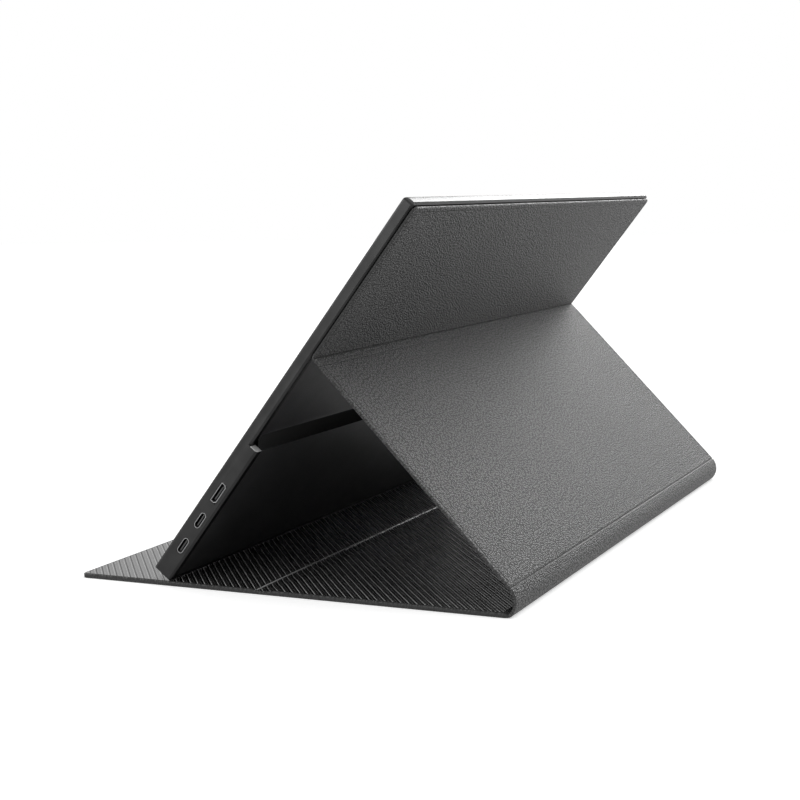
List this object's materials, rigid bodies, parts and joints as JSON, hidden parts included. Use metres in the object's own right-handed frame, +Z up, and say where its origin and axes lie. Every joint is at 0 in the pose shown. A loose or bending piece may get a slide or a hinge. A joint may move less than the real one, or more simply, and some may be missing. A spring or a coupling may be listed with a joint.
{
  "type": "portable monitor with cover",
  "caption": "Thin portable monitor leaning back on a folded leather cover: strut, rounded spine and ribbed base, with side ports and keys.",
  "frame": {"origin": "the middle of the base's underside, on the surface that it stands on", "axes": "+Z up; +X to the right of the user who looks at the screen; the screen faces -Y and up, and the spine is at +Y"},
  "size_m": [0.3564, 0.2309, 0.1831],
  "materials": {
    "frame_aluminium": "bead-blasted and anodised grey",
    "bezel_plastic": "fine matte black",
    "screen_glass": "anti-glare, dark when off",
    "diffuser_film": "white film",
    "clear_acrylic": "clear sheet",
    "led_yellow": "white light strip",
    "tray_steel": "bare sheet steel",
    "board_green": "coated glass fibre",
    "flex_amber": "amber film",
    "cable_grey": "flat flexible cable",
    "shell_black": "satin black paint",
    "port_steel": "bright nickel",
    "jack_plastic": "black",
    "speaker_plastic": "black",
    "plate_steel": "bare sheet steel",
    "screw_steel": "zinc plated",
    "foam_black": "soft foam",
    "key_aluminium": "anodised grey",
    "skin_leather": "dark grey, pebble grain",
    "lining_leather": "grey, ribbed",
    "core_board": "stiff board",
    "magnet_nickel": "nickel plated magnet"
  },
  "bodies": {
    "base_rear": {"base_rear_skin": "skin_leather", "base_rear_board": "core_board", "base_rear_lining": "lining_leather", "base_fold": "skin_leather"},
    "base_front": {"base_front_skin": "skin_leather", "base_front_board": "core_board", "base_front_lining": "lining_leather"},
    "spine": {"spine_skin": "skin_leather", "spine_board": "core_board", "spine_lining": "lining_leather", "heel_fold": "skin_leather"},
    "strut": {"strut_skin": "skin_leather", "strut_board": "core_board", "strut_lining": "lining_leather", "crease_fold": "skin_leather"},
    "back_panel": {"back_panel_skin": "skin_leather", "back_panel_board": "core_board", "back_panel_lining": "lining_leather", "hold_magnets": "magnet_nickel", "main_fold": "skin_leather"},
    "power_button": {"power_button": "key_aluminium"},
    "menu_rocker": {"menu_rocker": "key_aluminium"},
    "monitor": {"front_bezel": "bezel_plastic", "lcd_panel": "screen_glass", "diffuser_sheets": "diffuser_film", "light_guide": "clear_acrylic", "led_strip": "led_yellow", "panel_tray": "tray_steel", "driver_board": "board_green", "panel_flexes": "flex_amber", "panel_cable": "cable_grey", "side_frame": "frame_aluminium", "rear_shell": "shell_black", "main_board": "board_green", "board_cable": "cable_grey", "key_board": "board_green", "hdmi_port": "port_steel", "usb_c_upper": "port_steel", "usb_c_lower": "port_steel", "audio_jack": "jack_plastic", "speaker_right": "speaker_plastic", "speaker_left": "speaker_plastic", "hold_plates": "plate_steel", "board_screws": "screw_steel", "foam_strips": "foam_black"}
  },
  "joints": [
    {"name": "heel_hinge", "type": "hinge", "parent": "base_rear", "child": "spine", "pos_m": [0, 0.11422, 0.00064], "axis": [-1, 0, 0], "range_deg": [0, 85], "deforming": ["heel_fold"]},
    {"name": "strut_crease", "type": "hinge", "parent": "spine", "child": "strut", "pos_m": [0, 0.11533, 0.01311], "axis": [-1, 0, 0], "range_deg": [0, 47], "deforming": ["crease_fold"]},
    {"name": "main_fold_hinge", "type": "hinge", "parent": "strut", "child": "back_panel", "pos_m": [0, 0.02263, 0.11208], "axis": [1, 0, 0], "range_deg": [0, 77], "deforming": ["main_fold"]},
    {"name": "magnetic_hold", "type": "slide", "parent": "back_panel", "child": "monitor", "axis": [0, -0.7837, 0.6211], "range_m": [0, 0.05]},
    {"name": "base_flap", "type": "hinge", "parent": "base_rear", "child": "base_front", "pos_m": [0, -0.009, 0], "axis": [1, 0, 0], "range_deg": [0, 170], "deforming": ["base_fold"]},
    {"name": "power_press", "type": "slide", "parent": "monitor", "child": "power_button", "axis": [1, 0, 0], "range_m": [0, 0.0004], "stiffness_N_per_m": 1500},
    {"name": "menu_rock", "type": "hinge", "parent": "monitor", "child": "menu_rocker", "pos_m": [-0.1722, -0.03773, 0.03947], "axis": [0, -0.7837, 0.6211], "range_deg": [-2, 2], "stiffness_Nm_per_rad": 0.05}
  ],
  "couplings": [
    {"joint": "strut_crease", "follows": "main_fold_hinge", "ratio": 0.6}
  ]
}
